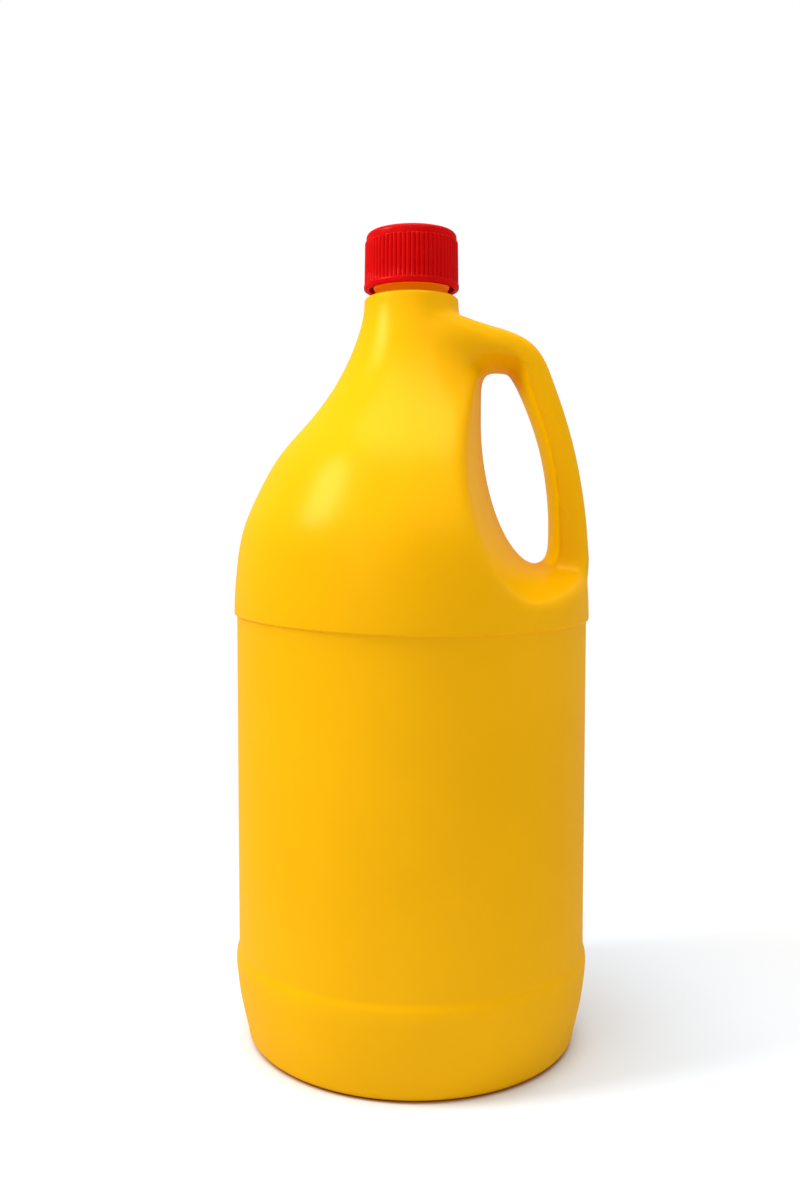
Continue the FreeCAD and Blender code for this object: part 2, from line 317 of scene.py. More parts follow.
def turned_form(x, y, z):
    """The shoulder and the lower collar, turned round the vertical axis."""
    radius = np.maximum(np.hypot(x, y), 1e-6)
    value, slope = shoulder_radius_at(z)
    value, slope = value[..., 0], slope[..., 0]
    steep = 1 / np.sqrt(1 + slope ** 2)
    return (radius - value) * steep, (x / radius * steep, y / radius * steep, -slope * steep)


def pocket_form(x, y, z):
    """The room behind the handle: a corner of a stretched round, leaning open both ways from y = 0."""
    half_x = POCKET_ARC_X - POCKET_WALL
    half_z = POCKET_ARC_Z - POCKET_FLOOR
    u = np.maximum(POCKET_ARC_X - x, 0) / half_x
    v = np.maximum(POCKET_ARC_Z - z, 0) / half_z
    size = np.maximum((u ** POCKET_FULLNESS + v ** POCKET_FULLNESS) ** (1 / POCKET_FULLNESS), 1e-6)
    across = (u / size) ** (POCKET_FULLNESS - 1) / half_x
    down = (v / size) ** (POCKET_FULLNESS - 1) / half_z
    grade = np.maximum(np.hypot(across, down), 0.5 / half_z)
    ridge = np.hypot(y, POCKET_RIDGE)
    leaning = POCKET_DRAFT * y / ridge
    distance = (size - 1) / grade - POCKET_DRAFT * (ridge - POCKET_RIDGE)
    steep = 1 / np.sqrt(1 + leaning ** 2)
    return distance * steep, (-across / grade * steep, -leaning * steep, -down / grade * steep)


def handle_form(x, y, z):
    """The handle: a crowned bar with rounded corners, and an oval on its inner side."""
    off, away_x, away_z, half_thickness, half_depth, oval = handle_line.measure(x, z)
    crowned_side = GRIP_CROWN * (y / half_depth) ** 2
    crowned_face = GRIP_CROWN * np.clip(off / half_thickness, 0, 1) ** 2
    q = off - half_thickness + GRIP_CORNER + crowned_side
    w = np.abs(y) - half_depth + GRIP_CORNER + crowned_face
    q, w = np.broadcast_arrays(q, w)
    q_out, w_out = np.maximum(q, 0), np.maximum(w, 0)
    length = np.hypot(q_out, w_out)
    boxed = length + np.minimum(np.maximum(q, w), 0) - GRIP_CORNER
    cornered = length > 0
    safe = np.maximum(length, 1e-9)
    q_share = np.where(cornered, q_out / safe, q > w)
    w_share = np.where(cornered, w_out / safe, q <= w)

    # Inside the middle line by more than the oval leaves, the section is half an ellipse
    u = np.minimum(off + half_thickness - oval, 0) / oval
    v = y / half_depth
    size = np.maximum(np.hypot(u, v), 1e-6)
    grade = np.maximum(np.hypot(u / oval, v / half_depth), 1e-6)
    oval_side = np.broadcast_to(u < 0, q.shape)
    distance = np.where(oval_side, (size - 1) * size / grade, boxed)
    across = np.where(oval_side, u / oval / grade, q_share)
    sideways = np.where(oval_side, v / half_depth / grade, np.sign(y) * w_share)
    return distance, (away_x * across, sideways, away_z * across)


def blend(first, second, width):
    """Join two forms with a soft root of that width, which closes up where their surfaces run together."""
    (a, a_out), (b, b_out) = first, second
    facing = sum(p * q for p, q in zip(a_out, b_out))
    width = width * np.clip(1 - facing, 0, 1) + 1e-6
    near = np.clip(1 - np.abs(a - b) / width, 0, 1)
    share = near ** 2 / 2
    of_b = np.where(a < b, share, 1 - share)
    outward = tuple(p * (1 - of_b) + q * of_b for p, q in zip(a_out, b_out))
    return np.minimum(a, b) - near ** 3 * width / 6, outward


def invert(form):
    return -form[0], tuple(-part for part in form[1])


def bottle_form(x, y, z):
    """The shoulder with its pocket and handle. The blends fade out towards the turned parts' levels."""
    rim = POCKET_RIM_BLEND * smoothstep(z, FORM_LOW, FORM_LOW + POCKET_RIM_FADE)
    body = invert(blend(invert(turned_form(x, y, z)), pocket_form(x, y, z), rim))
    handle = handle_form(x, y, z)
    root = GRIP_ROOT_BLEND * smoothstep(z, FORM_LOW, FORM_LOW + GRIP_ROOT_FADE)
    root += (ARM_ROOT_BLEND - GRIP_ROOT_BLEND) * smoothstep(z, *ARM_ROOT_HEIGHTS)
    facing_aside = handle[1][1]
    root = root + ARM_SIDE_BLEND * smoothstep(z, *ARM_SIDE_HEIGHTS) * facing_aside ** 4
    root = root * (1 - smoothstep(z, FORM_HIGH - ARM_ROOT_FADE, FORM_HIGH))
    return blend(body, handle, root)


# ------------------------------------------------------------------ meshing a form

def surface_net(form, inset, reach, cell):
    """A quad mesh of a form's surface, or of the one that lies inset inside it, between FORM_LOW and
    FORM_HIGH. Each cell that the surface passes through gets one vertex, amid the crossings on its edges,
    and each crossed edge one quad. The mesh ends in one ring of vertices on each of those levels."""
    layers = round((FORM_HIGH - FORM_LOW) / cell)
    rise = (FORM_HIGH - FORM_LOW) / layers
    across = 2 * math.ceil(reach / cell) + 1
    start = np.array([-across / 2 * cell, -across / 2 * cell, FORM_LOW - rise / 2])
    size = np.array([cell, cell, rise])
    count = np.array([across, across, layers + 1])
    x, y, z = np.meshgrid(*(start[n] + size[n] * np.arange(count[n] + 1) for n in range(3)),
                          indexing="ij", sparse=True)
    value = np.broadcast_to(form(x, y, z)[0], count + 1) + inset
    inside = value < 0

    total = np.zeros((*count, 3))
    hits = np.zeros(count)
    quads = []
    cell_id = np.arange(count.prod()).reshape(count)
    for axis in range(3):
        first, second = (axis + 1) % 3, (axis + 2) % 3
        low = [slice(None)] * 3
        high = [slice(None)] * 3
        low[axis], high[axis] = slice(0, -1), slice(1, None)
        a, b = value[tuple(low)], value[tuple(high)]
        crossed = inside[tuple(low)] != inside[tuple(high)]
        at = np.argwhere(crossed)
        share = a[crossed] / (a[crossed] - b[crossed])
        place = at.astype(float)
        place[:, axis] += share
        for step_first in (0, 1):
            for step_second in (0, 1):
                owner = at.copy()
                owner[:, first] -= step_first
                owner[:, second] -= step_second
                held = ((owner >= 0) & (owner < count)).all(1)
                np.add.at(total, tuple(owner[held].T), place[held])
                np.add.at(hits, tuple(owner[held].T), 1)
        full = (at[:, first] > 0) & (at[:, second] > 0)
        full &= (at[:, first] < count[first]) & (at[:, second] < count[second])
        at = at[full]
        corners = []
        for step_first, step_second in ((1, 1), (0, 1), (0, 0), (1, 0)):
            owner = at.copy()
            owner[:, first] -= step_first
            owner[:, second] -= step_second
            corners.append(cell_id[tuple(owner.T)])
        quad = np.stack(corners, 1)
        leaving = inside[tuple(low)][tuple(at.T)]
        quads.append(np.where(leaving[:, None], quad, quad[:, ::-1]))
    quads = np.concatenate(quads)
    used, quads = np.unique(quads, return_inverse=True)
    quads = quads.reshape(-1, 4)
    places = start + size * (total.reshape(-1, 3)[used] / hits.reshape(-1)[used, None])
    return places, quads


def quad_edges(quads):
    return np.concatenate([quads[:, [n, (n + 1) % 4]] for n in range(4)])


def rim_rings(quads):
    """The open edges of a quad mesh, as loops of vertex numbers."""
    edges = quad_edges(quads)
    _, first, seen = np.unique(np.sort(edges, 1), axis=0, return_index=True, return_counts=True)
    following = dict(edges[first[seen == 1]].tolist())
    loops = []
    while following:
        start, at = following.popitem()
        loop = [start]
        while at != start:
            loop.append(at)
            at = following.pop(at)
        loops.append(np.array(loop))
    return loops


def settle(form, inset, places, rounds=3, longest=1.5):
    """Move points onto the surface of a form, or onto the one that lies inset inside it, by no more than
    longest in a round."""
    for _ in range(rounds):
        distance, outward = form(*places.T)
        outward = np.stack(np.broadcast_arrays(*outward), 1)
        steep = np.maximum((outward ** 2).sum(1), 0.25)
        move = np.clip((distance + inset) / steep, -longest, longest)
        places = places - outward * move[:, None]
    return places


def circle(radius, angle, height):
    """A place for each angle round the vertical axis. The radius may differ from angle to angle."""
    return np.stack([radius * np.cos(angle), radius * np.sin(angle), np.full(len(angle), height)], 1)


def place_ring(places, ring, radius, level, rounds=12):
    """Set a ring of vertices on a circle, spaced more evenly in each round, and give its numbers and
    their angles, rising round from +X."""
    angle = np.unwrap(np.arctan2(places[ring, 1], places[ring, 0]))
    if angle[-1] < angle[0]:
        ring, angle = ring[::-1], angle[::-1]
    for _ in range(rounds):
        before = np.concatenate([angle[-1:] - 2 * np.pi, angle[:-1]])
        after = np.concatenate([angle[1:], angle[:1] + 2 * np.pi])
        angle = (before + 2 * angle + after) / 4
    angle = angle % (2 * np.pi)
    shift = np.argmin(angle)
    ring, angle = np.roll(ring, -shift), np.roll(angle, -shift)
    places[ring] = circle(radius, angle, level)
    return ring, angle


def formed_surface(form, inset, reach, cell, rounds, share=0.6):
    """The formed stretch as an even mesh: (places, quads, its lowest ring, its highest), each ring with
    its angles. Each round moves its vertices by that share of the way to their neighbours' middle."""
    places, quads = surface_net(form, inset, reach, cell)
    rings = sorted(rim_rings(quads), key=lambda ring: places[ring, 2].mean())
    low, high = rings[0], rings[-1]
    radii = shoulder_radius_at(np.array([FORM_LOW, FORM_HIGH]))[0][:, 0] - inset
    low = place_ring(places, low, radii[0], FORM_LOW)
    high = place_ring(places, high, radii[1], FORM_HIGH)
    fixed = np.zeros(len(places), bool)
    fixed[low[0]] = fixed[high[0]] = True
    edges = np.unique(np.sort(quad_edges(quads), 1), axis=0)
    degree = np.bincount(edges.ravel(), minlength=len(places))[:, None]
    free = ~fixed
    places[free] = settle(form, inset, places[free])
    for _ in range(rounds):
        total = np.zeros_like(places)
        np.add.at(total, edges[:, 0], places[edges[:, 1]])
        np.add.at(total, edges[:, 1], places[edges[:, 0]])
        move = (total / degree - places) * share
        outward = np.stack(np.broadcast_arrays(*form(*places.T)[1]), 1)
        outward /= np.maximum(np.linalg.norm(outward, axis=1, keepdims=True), 1e-6)
        move -= outward * (outward * move).sum(1, keepdims=True)
        places[free] += move[free]
        places[free] = settle(form, inset, places[free], 1)
    places[free] = settle(form, inset, places[free])
    return places, quads, low, high


class Builder:
    """Collects the vertices and faces of one mesh."""

    def __init__(self):
        self.places, self.faces, self.count = [], [], 0

    def add(self, places):
        places = np.atleast_2d(np.asarray(places, float))
        self.places.append(places)
        self.count += len(places)
        return np.arange(self.count - len(places), self.count)

    def quads(self, numbers):
        self.faces += np.asarray(numbers).tolist()

    def between(self, outer, inner):
        """Quads from one ring of vertices to the next, both in rising angle, facing out where the first
        lies below the second on an outside wall."""
        ahead = np.roll(outer, -1), np.roll(inner, -1)
        self.quads(np.stack([outer, ahead[0], ahead[1], inner], 1))

    def spin(self, ring, rows, facing_out=True):
        """Carry a ring, given as its vertex numbers and their angles, on through (radius, height) rows.
        Gives the last ring, or nothing where the rows close on the axis."""
        numbers, angle = ring
        for radius, height in rows:
            if radius < 1e-6:
                middle = self.add([0, 0, height])[0]
                fan = np.stack([numbers, np.roll(numbers, -1), np.full(len(numbers), middle)], 1)
                self.quads(fan if facing_out else fan[:, ::-1])
                return None
            following = self.add(circle(radius, angle, height))
            self.between(*((numbers, following) if facing_out else (following, numbers)))
            numbers = following
        return numbers, angle

    def stitch(self, first, second):
        """Triangles between two rings that have different numbers of vertices."""
        (a, a_angle), (b, b_angle) = first, second
        a_turn = np.append(a_angle, a_angle[0] + 2 * np.pi)
        b_turn = np.append(b_angle, b_angle[0] + 2 * np.pi)
        i = j = 0
        while i < len(a) or j < len(b):
            here = a[i % len(a)], b[j % len(b)]
            if j == len(b) or (i < len(a) and a_turn[i + 1] <= b_turn[j + 1]):
                i += 1
                self.faces.append([here[0], a[i % len(a)], here[1]])
            else:
                j += 1
                self.faces.append([here[0], b[j % len(b)], here[1]])

    def object(self, name, bend=None):
        """The finished object, in metres. bend moves its places first, if given."""
        places = np.concatenate(self.places)
        if bend:
            places = bend(places)
        mesh = bpy.data.meshes.new(name)
        mesh.from_pydata((places * MM).tolist(), [], [[int(n) for n in face] for face in self.faces])
        mesh.update()
        made = bpy.data.objects.new(name, mesh)
        bpy.context.collection.objects.link(made)
        return made


def finish_mesh(piece, sharp_deg=38):
    """Smooth shading, with edges above that angle left sharp."""
    mesh = piece.data
    mesh.polygons.foreach_set("use_smooth", [True] * len(mesh.polygons))
    mesh.set_sharp_from_angle(angle=math.radians(sharp_deg))
    mesh.validate()


def round_rows(centre, radius, start_deg, end_deg, steps):
    """(radius, height) rows along an arc, its first point left out."""
    rows = []
    for step in range(1, steps + 1):
        turn = math.radians(start_deg + (end_deg - start_deg) * step / steps)
        rows.append((centre[0] + radius * math.cos(turn), centre[1] + radius * math.sin(turn)))
    return rows


def straight_rows(start, end, steps):
    """(radius, height) rows along a line, its first point left out."""
    share = np.arange(1, steps + 1)[:, None] / steps
    return [tuple(row) for row in np.array(start) * (1 - share) + np.array(end) * share]


def thread_ridge(builder, buried, crest, start, turns):
    """A closed helical ridge of rounded trapezium section, from its buried radius to its crest's, faded
    out at both ends."""
    steps = round(THREAD_STEPS_A_TURN * turns)
    outwards = crest - buried
    flat = 0.7 * THREAD_CREST
    across = np.array([-THREAD_BASE, -THREAD_CREST, -flat, flat, THREAD_CREST, THREAD_BASE]) / 2
    out = np.array([0, 0.88, 1, 1, 0.88, 0])
    rings = []
    for step in range(steps + 1):
        fade = float(smoothstep(min(step, steps - step), *THREAD_FADE_STEPS))
        angle = 2 * math.pi * step / THREAD_STEPS_A_TURN
        radius = buried + outwards * out * fade
        height = start + THREAD_PITCH * step / THREAD_STEPS_A_TURN + across
        rings.append(builder.add(
            np.stack([radius * math.cos(angle), radius * math.sin(angle), height], 1)))
    turned = outwards > 0
    for here, ahead in zip(rings, rings[1:]):
        for n in range(len(across)):
            m = (n + 1) % len(across)
            face = [here[n], ahead[n], ahead[m], here[m]]
            builder.faces.append([int(v) for v in (face if turned else face[::-1])])
    for ring, towards in ((rings[0], False), (rings[-1], True)):
        face = ring.tolist()
        builder.faces.append(face[::-1] if towards == turned else face)


# ------------------------------------------------------------------ node trees

def add_node(tree, kind, inputs=(), **settings):
    """Any node, by its type, the values or links of its sockets, and its settings, which are set first."""
    node = tree.nodes.new(kind)
    for name, value in settings.items():
        setattr(node, name, value)
    for name, value in dict(inputs).items():
        if isinstance(value, Shade):
            value = value.socket
        if isinstance(value, bpy.types.NodeSocket):
            tree.links.new(value, node.inputs[name])
        else:
            node.inputs[name].default_value = value
    return node


class Shade:
    """A number, colour or vector somewhere in a shader's node tree."""

    def __init__(self, tree, socket):
        self.tree, self.socket = tree, socket

    def math(self, operation, *others):
        """A Math node on this number and the others."""
        inputs = dict(enumerate((self, *others)))
        node = add_node(self.tree, "ShaderNodeMath", inputs, operation=operation)
        return Shade(self.tree, node.outputs[0])

    def __add__(self, other):
        return self.math("ADD", other)

    def __mul__(self, other):
        return self.math("MULTIPLY", other)

    __radd__ = __add__
    __rmul__ = __mul__

    def __rsub__(self, other):
        return self.math("MULTIPLY_ADD", -1, other)

    def between(self, low, high):
        """0 below low, 1 above high, smooth in between."""
        inputs = {"Value": self, "From Min": low, "From Max": high}
        node = add_node(self.tree, "ShaderNodeMapRange", inputs, interpolation_type="SMOOTHSTEP")
        return Shade(self.tree, node.outputs[0])

    def between_mm(self, low, high):
        """The same for a length, with both limits in millimetres."""
        return self.between(low * MM, high * MM)


# ------------------------------------------------------------------ bottle

def lip_bend(places):
    """The lip dips at the front and back and towards the handle, and takes the wall near it along."""
    x, y, z = places.T
    near = smoothstep(z, LIP_HEIGHT - LIP_BEND_BELOW, LIP_HEIGHT)
    near *= 1 - smoothstep(z, FORM_LOW, FORM_LOW + LIP_BEND_ABOVE)
    near *= smoothstep(np.hypot(x, y), *LIP_BEND_RADII)
    front = y ** 2 / np.maximum(x ** 2 + y ** 2, 1)
    bent = places.copy()
    bent[:, 2] += near * (LIP_RISE - LIP_DIP * front - LIP_TILT * x / SHOULDER_RADIUS)
    return bent


def side_rows(inset, step):
    """(radius, height) rows down the straight side, the bead, the heel and the base, to the axis. Those
    of the outside are finer."""
    outside = inset == 0
    lip = LIP_STEP / 2
    rows = round_rows((SHOULDER_RADIUS - lip - inset, LIP_HEIGHT + LIP_STEP), lip, 0, -90, 3)
    rows += round_rows((PANEL_RADIUS + lip - inset, LIP_HEIGHT), lip, 90, 180, 3)
    rows += straight_rows((PANEL_RADIUS - inset, LIP_HEIGHT), (PANEL_RADIUS - inset, HEEL[-1][0]), 14)
    heights = np.concatenate([
        np.arange(HEEL[-1][0] - step, CREASE_HIGH, -step),
        np.arange(CREASE_HIGH, CREASE_LOW, -step / 4),
        np.arange(CREASE_LOW, HEEL_ROUND + step / 2, -step),
    ])
    rows += [(radius - inset, height) for height, radius in zip(heights, heel_radius_at(heights)[0][:, 0])]
    corner = HEEL_ROUND - inset
    rows.append((HEEL_RADIUS + corner, HEEL_ROUND))
    rows += round_rows((HEEL_RADIUS, HEEL_ROUND), corner, 0, -90, 8 if outside else 4)
    rows += [(STANDING_RADIUS + STANDING_FLAT, inset), (STANDING_RADIUS, inset)]
    share = np.linspace(1, 0, 15 if outside else 8)[1:]
    rise = BASE_PUSH_UP * (1 - share ** 2)
    rows += [(STANDING_RADIUS * out, inset + up) for out, up in zip(share, rise)]
    return rows


def make_bottle():
    """The outside from its base to the neck's lip, the cavity with the bore, and the thread."""
    body = Builder()
    places, quads, low, high = formed_surface(
        bottle_form, 0, SHOULDER_RADIUS + NET_MARGIN, OUTSIDE_CELL, OUTSIDE_SMOOTHING)
    body.add(places)
    body.quads(quads)
    body.spin(low, side_rows(0, OUTSIDE_ROW_STEP), facing_out=False)
    shelf = COLLAR_HEIGHT - COLLAR_ROUND
    lip = NECK_TOP - NECK_LIP_ROUND
    foot = NECK_FOOT_ROUND
    thread_foot = NECK_GROOVE_TOP + NECK_ROOT - NECK_GROOVE
    mouth = body.spin(high, [
        (COLLAR_RADIUS, shelf),
        *round_rows((COLLAR_RADIUS - COLLAR_ROUND, shelf), COLLAR_ROUND, 0, 90, 6),
        (NECK_GROOVE + foot, COLLAR_HEIGHT),
        *round_rows((NECK_GROOVE + foot, COLLAR_HEIGHT + foot), foot, 270, 180, 3),
        (NECK_GROOVE, NECK_GROOVE_TOP),
        (NECK_ROOT, thread_foot),
        *straight_rows((NECK_ROOT, thread_foot), (NECK_ROOT, lip), 4),
        *round_rows((NECK_ROOT - NECK_LIP_ROUND, lip), NECK_LIP_ROUND, 0, 90, 4),
    ])

    start = body.count
    places, quads, low, high = formed_surface(
        bottle_form, WALL, SHOULDER_RADIUS, CAVITY_CELL, CAVITY_SMOOTHING)
    body.add(places)
    body.quads(quads[:, ::-1] + start)
    low, high = ((numbers + start, angle) for numbers, angle in (low, high))
    body.spin(low, side_rows(WALL, CAVITY_ROW_STEP), facing_out=True)
    corner, foot = CAVITY_TOP_ROUND, BORE_FOOT_ROUND
    throat = body.spin(high, [
        (COLLAR_RADIUS - WALL, shelf - corner),
        *round_rows((COLLAR_RADIUS - WALL - corner, shelf - corner), corner, 0, 90, 3),
        (NECK_BORE + foot, shelf),
        *round_rows((NECK_BORE + foot, shelf + foot), foot, 270, 180, 3),
        *straight_rows((NECK_BORE, shelf + foot), (NECK_BORE, NECK_TOP - MOUTH_BEVEL), 3),
        (NECK_BORE + MOUTH_BEVEL, NECK_TOP),
    ], facing_out=False)
    body.stitch(mouth, throat)
    thread_ridge(body, NECK_ROOT - THREAD_ROOTED, NECK_ROOT + THREAD_DEPTH, THREAD_START, THREAD_TURNS)
    return body.object("jug_bottle", lip_bend)


# ------------------------------------------------------------------ cap and liner

def cap_sector():
    """One rib's share of the cap, from the middle of its top round to the middle of its ceiling. Each
    row has its radius in the valleys between the ribs, its radius on their crests, and its height."""
    top = CAP_TOP
    band = CAP_OUTER - RIB_TAPER
    edge = CAP_EDGE_ROUND
    rim = CAP_OUTER + CAP_RIM_PROUD
    rim_head = CAP_BOTTOM + CAP_RIM_HEIGHT - CAP_RIM_PROUD
    rib_head = top - CAP_BAND_HEIGHT
    bead = CAP_RIM_ROUND
    bevel = CAP_MOUTH_BEVEL

    # The top and its rounded edge
    rows = [(0, 0, top), (TOP_RING_RADIUS, TOP_RING_RADIUS, top), (band - edge, band - edge, top)]
    rows += [(r, r, z) for r, z in round_rows((band - edge, top - edge), edge, 90, 0, 7)]

    # The ribs, from their rounded heads down to the rim
    rows.append((band, band, rib_head + RIB_HEAD_HOLD))
    for turn in (0, 25, 50, 75, 90):
        rise = math.sin(math.radians(turn)) * RIB_DEPTH
        drop = (1 - math.cos(math.radians(turn))) * RIB_DEPTH
        rows.append((band, band + rise, rib_head - drop))
    for share in (0.25, 0.5, 0.75):
        z = rib_head - RIB_DEPTH + (rim_head + CAP_RIM_PROUD - rib_head + RIB_DEPTH) * share
        rows.append((band + RIB_TAPER * share, band + RIB_DEPTH + RIB_TAPER * share, z))

    # The rim, the bevelled mouth and the inside
    for turn in (90, 70, 50, 30, 0):
        r = CAP_OUTER + CAP_RIM_PROUD * math.cos(math.radians(turn))
        z = rim_head + CAP_RIM_PROUD * math.sin(math.radians(turn))
        rows.append((r, max(r, CAP_OUTER + RIB_DEPTH), z))
    rows += [(r, r, z) for r, z in round_rows((rim - bead, CAP_BOTTOM + bead), bead, 0, -90, 5)]
    rows += [
        (CAP_INNER + bevel, CAP_INNER + bevel, CAP_BOTTOM), (CAP_INNER, CAP_INNER, CAP_BOTTOM + bevel),
        (CAP_INNER, CAP_INNER, CAP_CEILING), (0, 0, CAP_CEILING),
    ]

    pitch = 2 * math.pi / RIB_COUNT
    share = np.linspace(-1, 1, RIB_COLUMNS + 1)
    bump = np.sqrt(1 - (RIB_ROUNDNESS * share) ** 2) - math.sqrt(1 - RIB_ROUNDNESS ** 2)
    bump /= bump.max()
    sector = Builder()
    rings = []
    for valley, crest, z in rows:
        if valley == 0:
            rings.append(np.repeat(sector.add([0, 0, z]), RIB_COLUMNS + 1))
        else:
            rings.append(sector.add(circle(valley + (crest - valley) * bump, pitch / 2 * share, z)))
    for above, below in zip(rings, rings[1:]):
        for n in range(RIB_COLUMNS):
            face = [below[n], below[n + 1], above[n + 1], above[n]]
            sector.faces.append(list(dict.fromkeys(int(v) for v in face)))
    return sector.object("jug_cap")


def ring_of_copies():
    """A node group that sets copies of a geometry round the vertical axis and welds them together."""
    group = bpy.data.node_groups.new("ring_of_copies", "GeometryNodeTree")
    for name, way, kind in (
        ("Geometry", "INPUT", "NodeSocketGeometry"),
        ("Count", "INPUT", "NodeSocketInt"),
        ("Material", "INPUT", "NodeSocketMaterial"),
        ("Geometry", "OUTPUT", "NodeSocketGeometry"),
    ):
        group.interface.new_socket(name, in_out=way, socket_type=kind)

    def node(kind, inputs=(), **settings):
        return add_node(group, kind, inputs, **settings).outputs[0]

    given = add_node(group, "NodeGroupInput").outputs
    points = node("GeometryNodePoints", {"Count": given["Count"], "Position": (0, 0, 0)})
    turn = node("ShaderNodeMath", {0: 2 * math.pi, 1: given["Count"]}, operation="DIVIDE")
    turn = node("ShaderNodeMath", {0: node("GeometryNodeInputIndex"), 1: turn}, operation="MULTIPLY")
    facing = node("ShaderNodeCombineXYZ", {"Z": turn})
    copies = node("GeometryNodeInstanceOnPoints", {
        "Points": points, "Instance": given["Geometry"], "Rotation": facing})
    solid = node("GeometryNodeRealizeInstances", {"Geometry": copies})
    welded = node("GeometryNodeMergeByDistance", {"Geometry": solid, "Distance": RIB_WELD * MM})
    finished = node("GeometryNodeSetMaterial", {"Geometry": welded, "Material": given["Material"]})
    add_node(group, "NodeGroupOutput", {"Geometry": finished})
    return group


def copy_round(piece, count, material):
    """Replace a piece's mesh by count copies of it set round the axis, as one plain mesh."""
    group = ring_of_copies()
    modifier = piece.modifiers.new("ring", "NODES")
    modifier.node_group = group
    inputs = {item.name: item.identifier for item in group.interface.items_tree if item.in_out == "INPUT"}
    modifier[inputs["Count"]] = count
    modifier[inputs["Material"]] = material
    bpy.context.view_layer.update()
    graph = bpy.context.evaluated_depsgraph_get()
    mesh = bpy.data.meshes.new_from_object(piece.evaluated_get(graph), depsgraph=graph)
    piece.modifiers.remove(modifier)
    piece.data = mesh


def make_cap_thread():
    """The ridge inside the cap's skirt, half a pitch below the neck's."""
    ridge = Builder()
    start = THREAD_START - THREAD_PITCH / 2
    thread_ridge(ridge, CAP_INNER + THREAD_ROOTED, CAP_THREAD_CREST, start, CAP_THREAD_TURNS)
    return ridge.object("jug_cap_thread")


def make_liner():
    """A disc between the neck's lip and the cap's ceiling."""
    disc = Builder()
    radius = CAP_INNER - LINER_SIDE_GAP
    angle = 2 * np.pi * np.arange(LINER_SIDES) / LINER_SIDES
    edge = LINER_EDGE_ROUND
    first = disc.add(circle(LINER_INNER_RING, angle, NECK_TOP))
    middle = disc.add([0, 0, NECK_TOP])[0]
    disc.quads(np.stack([np.roll(first, -1), first, np.full(LINER_SIDES, middle)], 1))
    disc.spin((first, angle), [
        (TOP_RING_RADIUS, NECK_TOP), (NECK_BORE, NECK_TOP), (NECK_ROOT, NECK_TOP),
        (radius - edge, NECK_TOP),
        *round_rows((radius - edge, NECK_TOP + edge), edge, -90, 0, 3),
        (radius, CAP_CEILING - edge),
        *round_rows((radius - edge, CAP_CEILING - edge), edge, 0, 90, 3),
        (TOP_RING_RADIUS, CAP_CEILING), (0, CAP_CEILING),
    ])
    return disc.object("jug_liner")


# ------------------------------------------------------------------ materials

class Material:
    """A material's node tree, with short ways to add to it."""

    def __init__(self, name):
        self.made = bpy.data.materials.new(name)
        self.made.use_nodes = True
        self.tree = self.made.node_tree
        self.tree.nodes.clear()
        self.place = self.node("ShaderNodeTexCoord", "Object")

    def node(self, kind, output=0, inputs=(), **settings):
        """One of the outputs of any node."""
        return Shade(self.tree, add_node(self.tree, kind, inputs, **settings).outputs[output])

    def split(self, vector):
        """A vector's three numbers."""
        parts = add_node(self.tree, "ShaderNodeSeparateXYZ", {"Vector": vector}).outputs
        return [Shade(self.tree, part) for part in parts]

    def from_axis(self):
        """The distance from the jug's upright axis."""
        x, y, _ = self.split(self.place)
        return (x * x + y * y).math("SQRT")

    def noise(self, scale, detail):
        """Noise about 0.5, with scale in features per metre."""
        return self.node("ShaderNodeTexNoise", inputs={
            "Vector": self.place, "Scale": scale, "Detail": detail})

    def mix(self, share, first, second):
        """Between two colours."""
        return self.node("ShaderNodeMix", 2, {0: share, 6: first, 7: second}, data_type="RGBA")

    def bump(self, height, depth, strength=1.0, under=None):
        """The normals of a relief of that depth in millimetres, on top of those under it."""
        inputs = {"Height": height, "Distance": depth * MM, "Strength": strength}
        if under:
            inputs["Normal"] = under
        return self.node("ShaderNodeBump", inputs=inputs)

    def finish(self, **inputs):
        """The material with a Principled surface of these inputs, spaces in their names as underscores."""
        return self.output(self.node("ShaderNodeBsdfPrincipled", inputs={
            name.replace("_", " "): value for name, value in inputs.items()}))

    def output(self, surface):
        """The material with that surface."""
        add_node(self.tree, "ShaderNodeOutputMaterial", {"Surface": surface})
        return self.made


